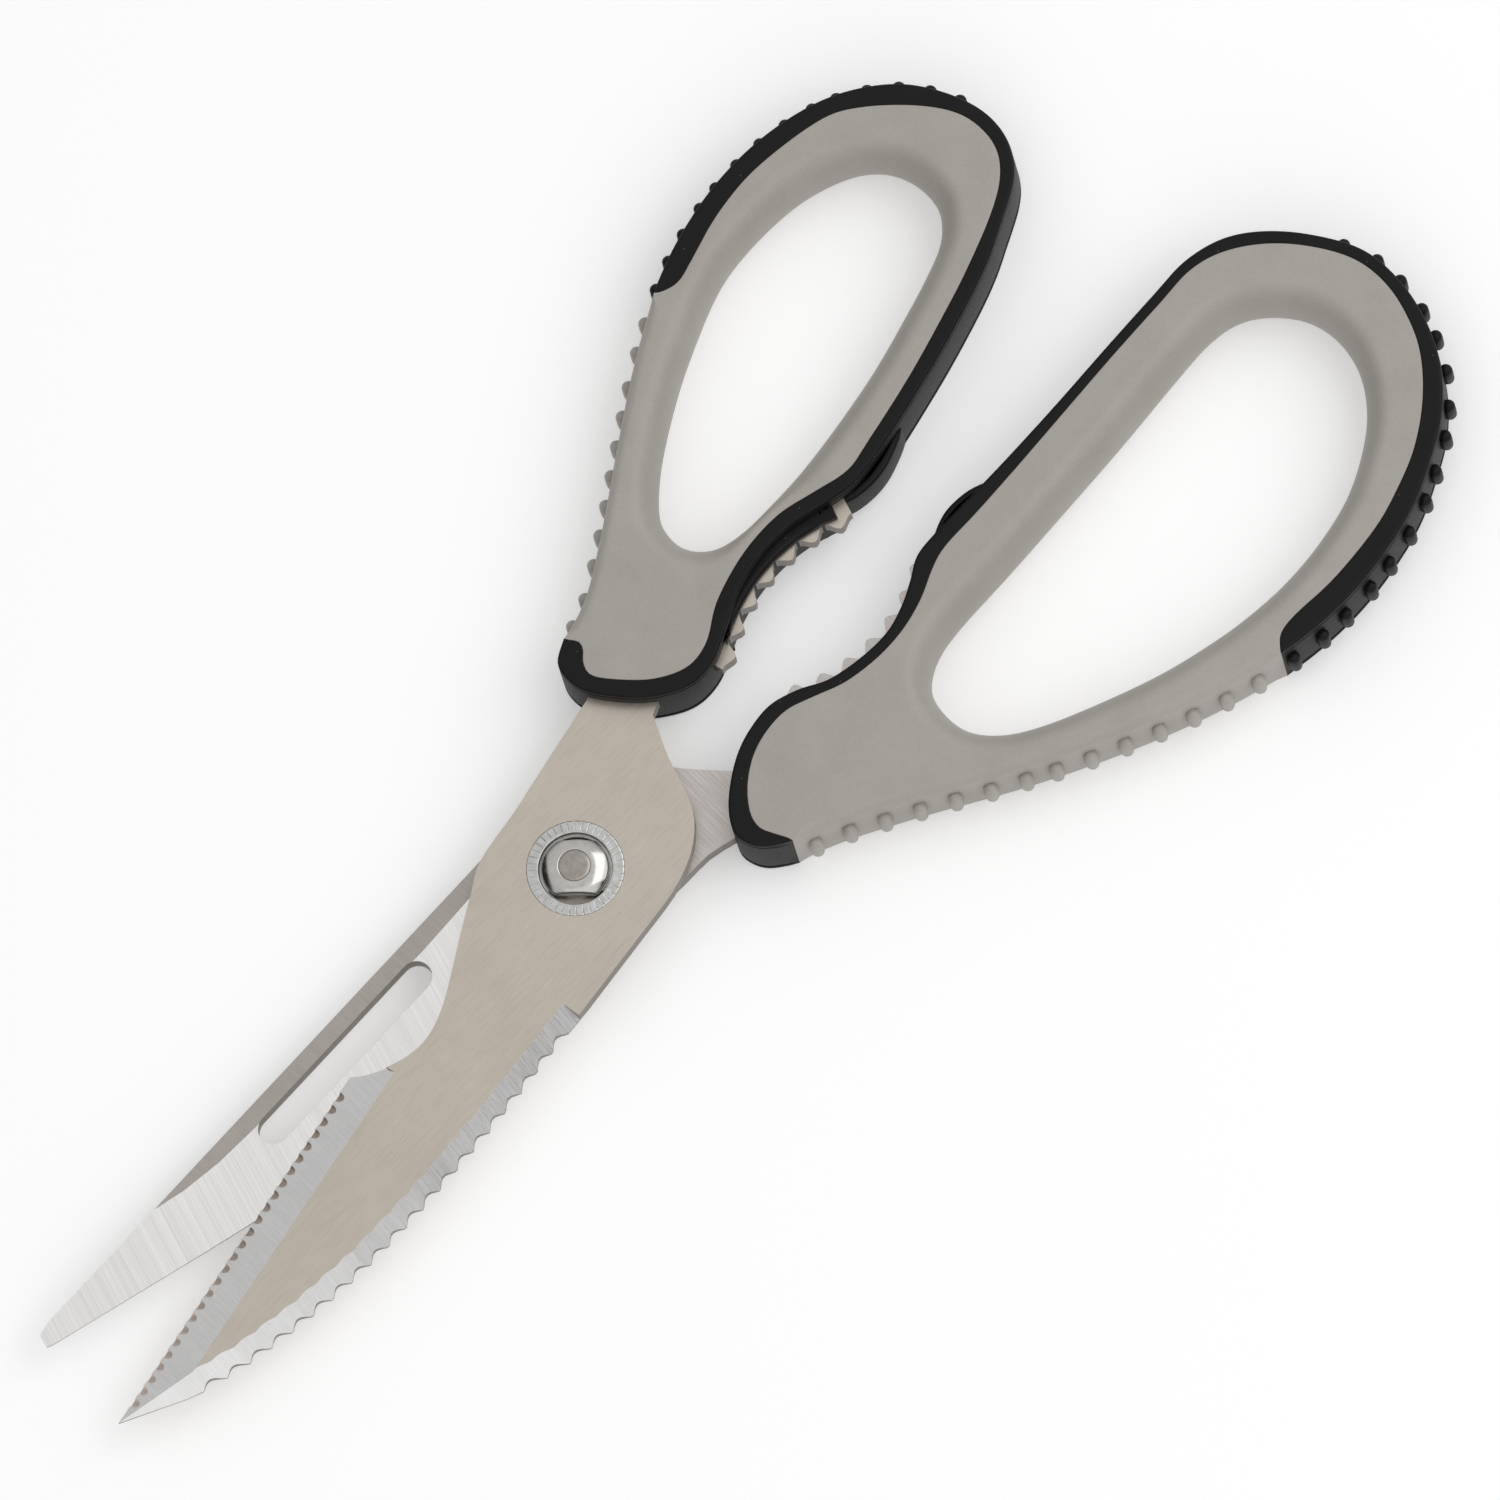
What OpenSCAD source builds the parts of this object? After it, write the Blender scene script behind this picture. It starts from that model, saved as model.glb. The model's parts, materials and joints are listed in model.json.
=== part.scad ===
// Poultry shears: two bypass blades on a take-apart button pivot, with overmoulded handles.
// Millimetres. The shears lie flat on z = 0 and the handles point to +Y. The pivot axis is parallel
// to Z, and the origin is at the centre of the base. Each half is drawn as it lies when the shears
// are shut, with the pivot at [0, 0], and is then turned about the pivot by half the opening angle.

/* [Opening] */
// Angle between the two halves as the shears lie, in degrees
open_angle = 9; // [1:0.5:30]

/* [Blades] */
// Distance from the pivot to the tip of the front blade
blade_l = 97; // [85:1:105]
// Thickness of the blade steel
blade_t = 2.5; // [2.2:0.1:2.8]
// Running gap between the two blades
blade_gap = 0.1; // [0.06:0.02:0.2]
// Thickness left at a ground edge
edge_t = 0.4; // [0.2:0.1:0.8]
// Width of the bevel along the cutting edge
cut_bevel = 5.2; // [4:0.2:6]
// Width of the bevel along the scalloped back
scallop_bevel = 2.6; // [2:0.1:3]
// Number of scallops along the back of the front blade
scallops = 20; // [12:1:24]
// Depth of a scallop
scallop_d = 0.9; // [0.4:0.1:1.2]
// Number of gullets along the cutting edge
gullets = 26; // [10:1:28]
// Radius of a gullet
gullet_r = 0.5; // [0.3:0.05:0.7]
// Width of the slot in the back blade
slot_w = 4.3; // [3:0.1:5]

/* [Nut jaws] */
// Number of teeth in each jaw
teeth = 7; // [5:1:9]
// Depth of a tooth
tooth_d = 1.5; // [0.8:0.1:2]

/* [Handles] */
// Thickness of the handles
handle_t = 11; // [10:0.5:13]
// How far the inner edge of a finger loop is rounded back from its narrowest line
roll = 3; // [1:0.5:3.5]
// Number of nubs on the hard part of the thumb handle
thumb_hard_nubs = 11; // [4:1:11]
// Number of nubs on the thumb grip
thumb_soft_nubs = 14; // [4:1:14]
// Number of nubs on the hard part of the finger handle
finger_hard_nubs = 14; // [4:1:14]
// Number of nubs on the finger grip
finger_soft_nubs = 16; // [4:1:16]
// Radius of a nub
nub_r = 1; // [0.8:0.1:1.2]
// How far a nub stands out of the wall
nub_out = 1.4; // [0.6:0.1:1.4]
// Length of a nub across the wall
nub_l = 5.6; // [3:0.2:6]

/* [Pivot] */
// Diameter of the bush that is pressed into the front blade
bush_d = 13.3; // [12.5:0.1:14]
// Diameter of the button's round sides
button_d = 9.2; // [8.8:0.1:9.3]
// Width of the button across its two flats
button_flats = 7.2; // [6.6:0.1:7.3]
// How far the button stands above the front blade
button_out = 1.6; // [1:0.1:2.4]
// Radial running clearance of the journal in the bush
run_fit = 0.05; // [0.02:0.01:0.08]
// Diameter of the rivet's shank
rivet_d = 4; // [3:0.1:4.4]
// Diameter of the rivet's head behind the back blade
rivet_head_d = 10; // [8:0.5:11]

/* [Hidden] */
$fn = 64;
eps = 0.01;
far = 200;

// Place of the pivot axis in the part's frame
pivot = [0.24, -19.22];

// Heights of the steel
mid_z = handle_t / 2;
back_top = mid_z - blade_gap / 2;
back_low = back_top - blade_t;
front_low = mid_z + blade_gap / 2;
front_top = front_low + blade_t;

// Pivot stack, from the back blade up
bush_lift = 0.05;
press_gap = 0.02;
bush_bore_d = 9.5;
journal_h = 0.8;
key_low = front_low + 0.75;
key_high = key_low + 0.7;
recess_d = 9.9;
neck_d = button_flats;
button_low = key_high + 0.1;
button_high = front_top + button_out;
dome_h = 1.1;
rivet_head_h = 1.2;
peen_d = rivet_d + 0.4;
peen_h = 0.3;
// The button's flats and the keyhole's flats line up when the shears are opened by this much
release_angle = 99;
button_turn = 47.5;

// Front blade, shut: down the inner edge and round the bone notch
front_notch = [[-13.7, 19], [-12.5, 9], [-11.5, 1], [-10.8, -7], [-8.8, -11.5], [-6.7, -16],
               [-4.3, -20.8], [-2.1, -25.4], [-0.9, -29.5], [-1, -33], [-2.4, -36.8], [-4.6, -39.7]];
front_heel = [-6, -40.8];
front_tip = [0, -97];
front_point = [[2.6, -92.8], [5.2, -88.6]];
// Line that the scallops' peaks lie on, from the tip upwards
scallop_line = [[6.2, -86.6], [8.6, -80], [11, -70.4], [12.7, -60], [13.5, -48], [13.7, -33],
                [13.3, -18]];
front_shoulder = [[13.3, -14], [12.8, -2], [12.4, 5.6], [11, 11], [8.4, 15], [5, 17.4], [0, 19.7],
                  [-5.4, 23]];
front_arm_low = [[-6.6, 27], [-6.4, 31], [-4.8, 33.2]];
front_arm_high = [[-4.4, 62.2], [-7, 63.2], [-8.8, 60.5], [-9.7, 55], [-9.8, 49], [-9.9, 44],
                  [-11.6, 41.4], [-15, 40], [-17, 36], [-16.6, 30], [-15.4, 24]];
front_jaw = [19.4, 47.5];
front_jaw_r = 24;
front_anchors = [[-11.5, 35, 2.6], [-10.8, 27.4, 2]];

// Back blade, shut: from the collar down the spine to the flat tip and up the cutting edge
back_spine = [[3.4, 24.6], [-1.4, 20], [-6.5, 16], [-9.8, 10.5], [-11, 4], [-10.7, -4], [-10, -11]];
back_tip = [[-3.9, -73], [-2, -93.4], [-1.4, -95.3], [0.5, -95.8]];
back_edge = [[0.8, -95], [3.5, -80.5], [6.1, -66.3], [7.9, -54], [9.4, -40], [10.6, -24], [11.1, -12]];
back_heel = [[10.8, 0], [10.4, 10], [10.1, 14.6], [10.8, 18.8]];
back_arm_low = [[12.8, 23], [15.3, 28], [16.2, 34], [14.6, 40.5], [11, 43.8], [8.6, 48], [7.6, 55],
                [5.5, 61], [2.6, 63.8]];
back_arm_high = [[3.4, 33.8], [5, 30], [4.9, 26.5]];
back_jaw = [-21.2, 48.5];
back_jaw_r = 23.5;
back_anchors = [[10.5, 35, 2.8], [9.6, 26.8, 2]];
// Ends of the slot's centre line
slot_a = [-4.1, -25.3];
slot_b = [-1.35, -53.4];
// Hollow grind of the back blade's inner face
hollow_w = 13;
hollow_d = 0.15;
hollow_from = [1, -12];
hollow_to = [1.6, -100];

// Thumb handle, shut: outline from the collar up the outer side, over the top and down the jaw side
thumb_line = [[-20.8, 23.2], [-22.6, 30.1], [-27.5, 39.8], [-33, 49.6], [-38.3, 59.6], [-42.6, 69.8],
              [-44.7, 79], [-45.1, 88], [-43.6, 97], [-40.1, 105.1], [-34, 111.6], [-26, 114.9],
              [-19.4, 114.7], [-14.3, 111.2], [-11, 104.1], [-8.7, 97.5], [-6.6, 88], [-5.2, 79.5],
              [-4.1, 71], [-3.8, 64.5], [-4.9, 60], [-6.7, 54.5], [-7.3, 49], [-6.5, 43], [-4.4, 37.5],
              [-3, 33], [-3.5, 28.5], [-6.6, 24.2], [-10.6, 21.2], [-14.9, 19.2], [-19, 19.9]];
thumb_hole = [[-20, 43.9], [-23.2, 45.7], [-27.4, 51.4], [-31.8, 60.2], [-34.8, 68.2], [-36.8, 75.2],
              [-37.2, 81.2], [-36.6, 88], [-35.2, 93.4], [-32.5, 98.6], [-29, 101.6], [-24.6, 102.6],
              [-20.2, 101.6], [-17.1, 98.3], [-15.5, 93.6], [-14, 86.6], [-12.6, 78.6], [-11.8, 70.6],
              [-11.4, 62.6], [-11.5, 54.6], [-12.1, 49.9], [-13.8, 46], [-16.7, 43.9]];
// Edge of the hard core where the grip starts
thumb_seam = [[-43.5, 67.2], [-41.6, 68.6], [-40.4, 71.4], [-41, 75.4], [-42.2, 82], [-42.2, 90],
              [-39.9, 100], [-36.9, 105], [-30.8, 110.2], [-25, 113], [-19.5, 112.7], [-15.8, 110],
              [-13.2, 105], [-10.8, 97], [-9.2, 90], [-7.3, 80], [-6, 70], [-5.6, 65], [-7.2, 60],
              [-8.9, 55], [-9.4, 50], [-9, 45], [-7.7, 39.6], [-5.4, 34.8], [-5.2, 30.6], [-7.6, 26.6],
              [-11.2, 23.6], [-14.6, 21.7], [-16.6, 22.3], [-17.8, 23.7], [-18.7, 24.2],
              [-19.4, 24.1], [-20.2, 23.6], [-22, 22.9]];
thumb_outside = [[-34, 30], [-52, 60]];
thumb_lug = [[-5, 60.6], [-3.4, 62.4], [-2.6, 65.4], [-2.5, 68.4], [-3.1, 71.4], [-4.2, 74.4], [-6, 76]];
thumb_pocket = [[-3.9, 63.6], [-3.4, 66.6], [-3.7, 70.2], [-4.5, 73.4], [-4.5, 70], [-4.3, 66.6]];

// Finger handle, shut: outline from the collar up the jaw side, over the top and down the outer side
finger_line = [[2.2, 30], [1.6, 34], [2.6, 38.2], [4.3, 42], [5, 47], [4.8, 52], [3.4, 56], [1.5, 59.3],
               [-0.4, 62.2], [-1.1, 66], [-1.6, 72], [-2.3, 80], [-3.4, 90], [-4.7, 100], [-5.9, 110],
               [-6.5, 116], [-5.4, 121.7], [-2.4, 126.5], [2.4, 130.9], [8.6, 134.5], [15.2, 135.3],
               [22, 134.1], [28.1, 131.3], [33.2, 126.9], [37, 121.4], [40.1, 115.6], [42.2, 109],
               [43.5, 102], [43.8, 95], [43.2, 88.1], [41.6, 80.5], [38.9, 71.5], [35.1, 61.4],
               [30.4, 50.9], [25.2, 40.7], [20.5, 30.7], [18.2, 24.4], [16.9, 21.6], [15, 19.4],
               [12, 18.5], [8.9, 20], [6, 22.9], [3.6, 26.4]];
finger_hole = [[17.2, 50.8], [13.5, 51.9], [10.8, 55.6], [9.5, 61], [8.5, 70], [7.1, 81], [5.5, 93],
               [3.6, 105], [2.8, 111.6], [3.4, 116.4], [5.8, 120.2], [9.7, 123.2], [14.5, 124.3],
               [19.8, 123.4], [24.8, 120.4], [28.8, 115.9], [32.2, 110], [34.3, 103.1], [35.3, 96.5],
               [35.4, 90.5], [34.9, 84.4], [33.4, 76], [30.9, 67.5], [28, 59.6], [25.2, 54.6],
               [21.6, 51.5]];
finger_seam = [[45.5, 87.4], [42.8, 89.2], [41.2, 90.8], [40.6, 94], [40.4, 101], [39, 109.5],
               [37, 115.3], [34.2, 121], [30, 126.3], [25, 130.4], [20, 132.6], [14.5, 133.6], [9, 132.8],
               [3.5, 129.6], [-1, 125.3], [-4, 120.3], [-5, 115.5], [-4.4, 110], [-3.2, 100], [-1.8, 90],
               [-0.4, 80], [0.6, 72], [1.2, 66], [2.3, 62.7], [4.5, 58.5], [6, 54], [6.6, 49],
               [6.2, 43.5], [4.8, 39], [3.7, 35], [4.1, 31], [5.5, 27.4], [8, 24.2], [11, 22],
               [13.4, 21.5], [15.3, 22.3], [17.4, 23.4], [21, 24.6]];
finger_outside = [[36, 28], [60, 80]];
finger_lug = [[0.4, 64.2], [-1, 65.2], [-2.4, 67.2], [-3.3, 69.6], [-3.5, 72.2], [-3.2, 74.6],
              [-2.2, 77.2], [-1.2, 78.2]];
finger_pocket = [[-1.9, 67.6], [-2.5, 69.8], [-2.7, 72], [-2.5, 74.4], [-2.1, 76], [-1.9, 72]];
// Least width of the flat face of the hard core between the opening and the seam
land = 0.9;
// Lip of the thumb grip over the roots of its jaw's teeth: heights, reach past the roots and width
lip_low = 2;
lip_high = 9.3;
lip_over = 0.1;
lip_w = 2;
lug_low = 1.5;
lug_high = 8;
pocket_floor = 3;

// Runs of the two outlines that carry the nubs, as first and last point
thumb_nub_run = [0, 12];
finger_nub_run = [17, 36];
// First nub and spacing along those runs, on the hard part and on the grip
thumb_hard_row = [3.2, 4.31];
thumb_soft_row = [51.6, 4.05];
finger_hard_row = [2.2, 4.83];
finger_soft_row = [70.8, 4.63];

// A smooth curve between b and c, with a and d as its neighbours
function span(a, b, c, d, t) =
    0.5 * (2 * b + (c - a) * t + (2 * a - 5 * b + 4 * c - d) * t * t + (3 * b - a - 3 * c + d) * t * t * t);
// A smooth open run through p, with n steps a span
function smooth(p, n = 4) = let (m = len(p) - 1)
    [for (i = [0:m - 1], k = [0:n - 1])
        span(p[max(i - 1, 0)], p[i], p[i + 1], p[min(i + 2, m)], k / n), p[m]];
// A smooth closed loop through p
function closed(p, n = 3) = let (m = len(p))
    [for (i = [0:m - 1], k = [0:n - 1])
        span(p[(i + m - 1) % m], p[i], p[(i + 1) % m], p[(i + 2) % m], k / n)];
// Distance from q to the nearest point of p
function nearest(q, p) = min([for (s = p) norm(q - s)]);
// A closed loop that runs clockwise moved outwards by d, or by less where the seam is near
function grown(p, d, seam) = let (m = len(p))
    [for (i = [0:m - 1]) let (v = p[(i + 1) % m] - p[(i + m - 1) % m])
        p[i] + min(d, nearest(p[i], seam) - land) * [-v.y, v.x] / norm(v)];
// Distance along p to each of its points
function run_lengths(p, i = 0, s = 0) =
    i == len(p) - 1 ? [s] : concat([s], run_lengths(p, i + 1, s + norm(p[i + 1] - p[i])));
// Point and outward direction at the distance s along p
function at_length(p, s) = let (r = run_lengths(p),
    i = max([for (k = [0:len(p) - 2]) if (r[k] <= s) k]), v = p[i + 1] - p[i])
    [p[i] + v * (s - r[i]) / norm(v), [-v.y, v.x] / norm(v)];
// Points of p from index a to index b
function part_of(p, a, b) = [for (i = [a:b]) p[i]];
// Teeth of a jaw on a circle about c, from angle a to angle b
function jaw_teeth(c, r, a, b) = let (n = teeth * 8)
    [for (k = [0:n]) let (w = a + (b - a) * k / n, q = r + tooth_d * (1 + cos(360 * k / 8)) / 2)
        c + q * [cos(w), sin(w)]];
// Scallops along a line of points: the line itself at the peaks, and scallop_d inside it between them
function scalloped(p) = let (top = p[len(p) - 1].y, low = p[0].y)
    [for (q = p) let (u = (q.y - low) / (top - low) * scallops)
        q - [scallop_d * pow(sin(180 * (u - floor(u))), 1.3), 0]];
// A blade point, with the part below the pivot scaled to the blade's length
function to_length(p) = [for (q = p) [q.x, q.y < 0 ? q.y * blade_l / 97 : q.y]];

module front_half() {
    translate([pivot.x, pivot.y, 0])
        rotate(open_angle / 2)
            children();
}

module back_half() {
    translate([pivot.x, pivot.y, 0])
        rotate(-open_angle / 2)
            children();
}

// Wedge that grinds a bevel into a face at z = 0 between a and b, w wide on the left of a to b.
// side is 1 for an upper face and -1 for a lower one.
module bevel_cut(a, b, w, side, over_a = 0, over_b = 0) {
    v = b - a;
    fall = atan((blade_t - edge_t) / w);
    translate([a.x, a.y, 0])
        rotate(atan2(v.y, v.x))
            translate([-over_a, w, 0])
                rotate([side * fall, 0, 0])
                    translate([0, -3 * w, side > 0 ? 0 : -3 * blade_t])
                        cube([norm(v) + over_a + over_b, 3 * w, 3 * blade_t]);
}

// Outline of the front blade with its tang
function front_outline() = concat(
    smooth(front_notch), [front_heel, front_tip], front_point,
    scalloped(smooth(scallop_line, 28)), smooth(front_shoulder, 3), smooth(front_arm_low, 2),
    jaw_teeth(front_jaw, front_jaw_r, 213, 147.5), smooth(front_arm_high, 2));

// Outline of the back blade with its tang
function back_outline() = concat(
    smooth(back_spine), back_tip, smooth(back_edge, 3), smooth(back_heel, 2), smooth(back_arm_low, 2),
    jaw_teeth(back_jaw, back_jaw_r, 37, -29), smooth(back_arm_high, 2));

module anchor_holes(list) {
    for (h = list)
        translate([h.x, h.y, -eps])
            cylinder(r = h.z, h = blade_t + 2 * eps);
}

module gullet_row() {
    start = to_length([front_heel])[0];
    edge = to_length([front_tip])[0] - start;
    for (k = [0:gullets - 1])
        translate(concat(start + edge * (0.055 + 0.92 * k / gullets), -eps))
            cylinder(r = gullet_r, h = blade_t, $fn = 16);
}

// The front blade lies on z = 0 here, its flat inner face down
module front_plate() {
    peaks = to_length(scallop_line);
    difference() {
        linear_extrude(blade_t)
            polygon(to_length(front_outline()));
        translate([0, 0, blade_t]) {
            bevel_cut(to_length([front_heel])[0], to_length([front_tip])[0], cut_bevel, 1, 3.4, 10);
            bevel_cut(to_length([front_tip])[0], peaks[0], scallop_bevel, 1, 8, 1.5);
            for (i = [0:len(peaks) - 2])
                bevel_cut(peaks[i], peaks[i + 1], scallop_bevel, 1, 1.5, i < len(peaks) - 2 ? 1.5 : 2.5);
        }
        gullet_row();
        anchor_holes(front_anchors);
        translate([0, 0, -eps])
            cylinder(d = bush_d, h = blade_t + 2 * eps);
    }
}

module front_blade() color("#bdb5a9")
    front_half()
        translate([0, 0, front_low])
            front_plate();

// Section of a shallow trough, d deep and 2 * w wide at y = 0, with its sides carried on above that
function trough(w, d) = concat(
    [for (i = [-3:3]) let (u = 0.4 * i) [u * w, -d * (1 - u * u)]], [[1.2 * w, 1], [-1.2 * w, 1]]);

module back_plate() {
    edge = to_length(back_edge);
    hollow = to_length([hollow_from, hollow_to]);
    reach = hollow[1] - hollow[0];
    difference() {
        linear_extrude(blade_t)
            polygon(to_length(back_outline()));
        // Bevel of the cutting edge, on the back face
        for (i = [0:len(edge) - 2])
            bevel_cut(edge[i], edge[i + 1], cut_bevel, -1, 1.5, i < len(edge) - 2 ? 1.5 : 0);
        // Slot with rounded ends
        linear_extrude(3 * blade_t, center = true)
            slot_shape();
        // Hollow grind of the inner face, a shallow trough along the blade
        translate([hollow[0].x, hollow[0].y, blade_t])
            rotate(atan2(reach.y, reach.x) + 90)
                rotate([90, 0, 0])
                    linear_extrude(norm(reach))
                        polygon(trough(hollow_w / 2, hollow_d));
        anchor_holes(back_anchors);
        translate([0, 0, -eps])
            cylinder(d = rivet_d + 2 * press_gap, h = blade_t + 2 * eps);
    }
}

module slot_shape() {
    ends = to_length([slot_a, slot_b]);
    line = ends[1] - ends[0];
    turn = atan2(line.y, line.x);
    polygon([for (e = [0, 1], k = [0:12]) let (w = turn + 90 + 180 * e + 15 * k)
        ends[e] + slot_w / 2 * [cos(w), sin(w)]]);
}

module back_blade() color("#c4c0ba")
    back_half()
        translate([0, 0, back_low])
            back_plate();

// Rounded opening of a loop: narrowest at mid height and wider towards both faces
module loop_cut(hole, seam) {
    line = closed(hole);
    joint = smooth(seam, 6);
    low = [0, 0.09, 0.25, 0.75, 0.91] * handle_t;
    high = [0.09, 0.25, 0.75, 0.91, 1] * handle_t;
    wide = [1, 0.4, 0, 0.4, 1] * roll;
    for (i = [0:4])
        translate([0, 0, low[i] - (i == 0 ? eps : 0)])
            linear_extrude(high[i] - low[i] + (i % 4 == 0 ? eps : 0))
                polygon(grown(line, wide[i], joint));
}

// n nubs along a run of points. row holds the distance to the first one and the spacing.
module nubs(run, row, n, way) {
    for (k = [0:n - 1]) {
        spot = at_length(run, row[0] + row[1] * k);
        centre = spot[0] + spot[1] * way * (nub_out - nub_r);
        translate([centre.x, centre.y, mid_z - nub_l / 2])
            cylinder(r = nub_r, h = nub_l, $fn = 24);
    }
}

module thumb_nubs(row, n)
    nubs(smooth(part_of(thumb_line, thumb_nub_run[0], thumb_nub_run[1])), row, n, 1);

module finger_nubs(row, n) {
    run = part_of(finger_line, finger_nub_run[0], finger_nub_run[1]);
    nubs(smooth([for (i = [len(run) - 1:-1:0]) run[i]]), row, n, -1);
}

module thumb_core_shape()
    polygon(concat(smooth(thumb_seam, 3), thumb_outside));

module finger_core_shape()
    polygon(concat(smooth(finger_seam, 3), finger_outside));

module thumb_handle() color("#aaa39a")
    front_half()
        difference() {
            union() {
                linear_extrude(handle_t)
                    intersection() {
                        polygon(closed(thumb_line));
                        thumb_core_shape();
                    }
                thumb_nubs(thumb_hard_row, thumb_hard_nubs);
            }
            loop_cut(thumb_hole, thumb_seam);
            translate([0, 0, front_low])
                front_plate();
        }

// Ring sector about c between the radii a and b, from angle from to angle to
function sector(c, a, b, from, to) = let (n = 24) concat(
    [for (k = [0:n]) let (w = from + (to - from) * k / n) c + a * [cos(w), sin(w)]],
    [for (k = [n:-1:0]) let (w = from + (to - from) * k / n) c + b * [cos(w), sin(w)]]);

module jaw_lip() {
    roots = front_jaw_r + tooth_d - lip_over;
    translate([0, 0, lip_low])
        linear_extrude(lip_high - lip_low)
            polygon(sector(front_jaw, roots, roots + lip_w, 205, 152));
}

module lug(shape, pocket) {
    difference() {
        translate([0, 0, lug_low])
            linear_extrude(lug_high - lug_low)
                polygon(smooth(shape, 3));
        translate([0, 0, pocket_floor])
            linear_extrude(handle_t)
                polygon(closed(pocket));
    }
}

module thumb_grip() color("#282626")
    front_half()
        difference() {
            union() {
                linear_extrude(handle_t)
                    difference() {
                        polygon(closed(thumb_line));
                        thumb_core_shape();
                    }
                thumb_nubs(thumb_soft_row, thumb_soft_nubs);
                lug(thumb_lug, thumb_pocket);
                jaw_lip();
            }
            translate([0, 0, front_low])
                front_plate();
        }

module finger_handle() color("#aaa39a")
    back_half()
        difference() {
            union() {
                linear_extrude(handle_t)
                    intersection() {
                        polygon(closed(finger_line));
                        finger_core_shape();
                    }
                finger_nubs(finger_hard_row, finger_hard_nubs);
            }
            loop_cut(finger_hole, finger_seam);
            translate([0, 0, back_low])
                back_plate();
        }

module finger_grip() color("#282626")
    back_half()
        difference() {
            union() {
                linear_extrude(handle_t)
                    difference() {
                        polygon(closed(finger_line));
                        finger_core_shape();
                    }
                finger_nubs(finger_soft_row, finger_soft_nubs);
                lug(finger_lug, finger_pocket);
            }
            translate([0, 0, back_low])
                back_plate();
        }

// A round bar with two flats, flats apart
module two_flats(d, flats, h) {
    intersection() {
        cylinder(d = d, h = h);
        translate([-d, -flats / 2, -eps])
            cube([2 * d, flats, h + 2 * eps]);
    }
}

// Bush of the front blade: a round bore under a keyhole with two flats, and a recess for the button
module pivot_bush() color("#c0c4c4")
    front_half()
        difference() {
            translate([0, 0, front_low])
                cylinder(d = bush_d - 2 * press_gap, h = blade_t + bush_lift);
            translate([0, 0, front_low - eps])
                cylinder(d = bush_bore_d, h = key_low - front_low + eps);
            translate([0, 0, key_low - eps])
                rotate(button_turn - release_angle)
                    two_flats(bush_bore_d, neck_d + 4 * run_fit, key_high - key_low + 2 * eps);
            translate([0, 0, key_high])
                cylinder(d = recess_d, h = blade_t);
        }

// Sleeve on the back blade: the journal that turns in the bush, and the neck inside the keyhole
module pivot_sleeve() color("#b8b4ac")
    back_half()
        difference() {
            union() {
                translate([0, 0, back_top])
                    cylinder(d = bush_bore_d - 2 * run_fit, h = journal_h);
                translate([0, 0, back_top])
                    cylinder(d = neck_d, h = button_low - back_top);
            }
            cylinder(d = rivet_d + 2 * press_gap, h = far);
        }

// Button: a domed head with two flats that passes the keyhole only at the release angle
module pivot_button() color("#d8d6d2")
    back_half()
        rotate(button_turn)
            difference() {
                intersection() {
                    translate([0, 0, button_low])
                        two_flats(button_d, button_flats, button_high - button_low);
                    dome_profile();
                }
                translate([0, 0, button_high - peen_h])
                    cylinder(d = peen_d + 2 * press_gap, h = blade_t);
                cylinder(d = rivet_d + 2 * press_gap, h = far);
            }

module dome_profile() {
    rise = button_high - dome_h;
    rotate_extrude()
        polygon([[0, 0], [button_d, 0], [button_d, rise - 0.6], [button_d / 2, rise - 0.6],
                 [button_d / 2, rise], [button_d / 2 - 0.5, rise + 0.5], [button_d / 2 - 1.5, rise + 0.9],
                 [peen_d / 2 + 0.3, button_high], [0, button_high]]);
}

// Rivet: flat head behind the back blade, shank through the stack and a peened end in the button
module pivot_rivet() color("#b0aca6")
    back_half() {
        translate([0, 0, back_low - rivet_head_h])
            cylinder(d1 = rivet_head_d - 1.2, d2 = rivet_head_d, h = rivet_head_h);
        translate([0, 0, back_low - rivet_head_h])
            cylinder(d = rivet_d, h = button_high - back_low + rivet_head_h);
        translate([0, 0, button_high - peen_h])
            cylinder(d = peen_d, h = peen_h);
    }

front_blade();
back_blade();
thumb_handle();
finger_handle();
thumb_grip();
finger_grip();
pivot_bush();
pivot_button();
pivot_sleeve();
pivot_rivet();
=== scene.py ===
"""Poultry shears: two bypass blades, a take-apart button pivot and two overmoulded handles.

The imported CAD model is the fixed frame. Each of its nodes is replaced by a finer mesh that starts from the
node's own sections, so every size and place comes from the frame. Lengths named *_mm are millimetres.
"""

import json
import logging
import math
from dataclasses import dataclass, field
from enum import Enum
from typing import Callable, Iterable, Sequence

import bmesh
import bpy
from mathutils import Matrix, Vector, kdtree


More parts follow.
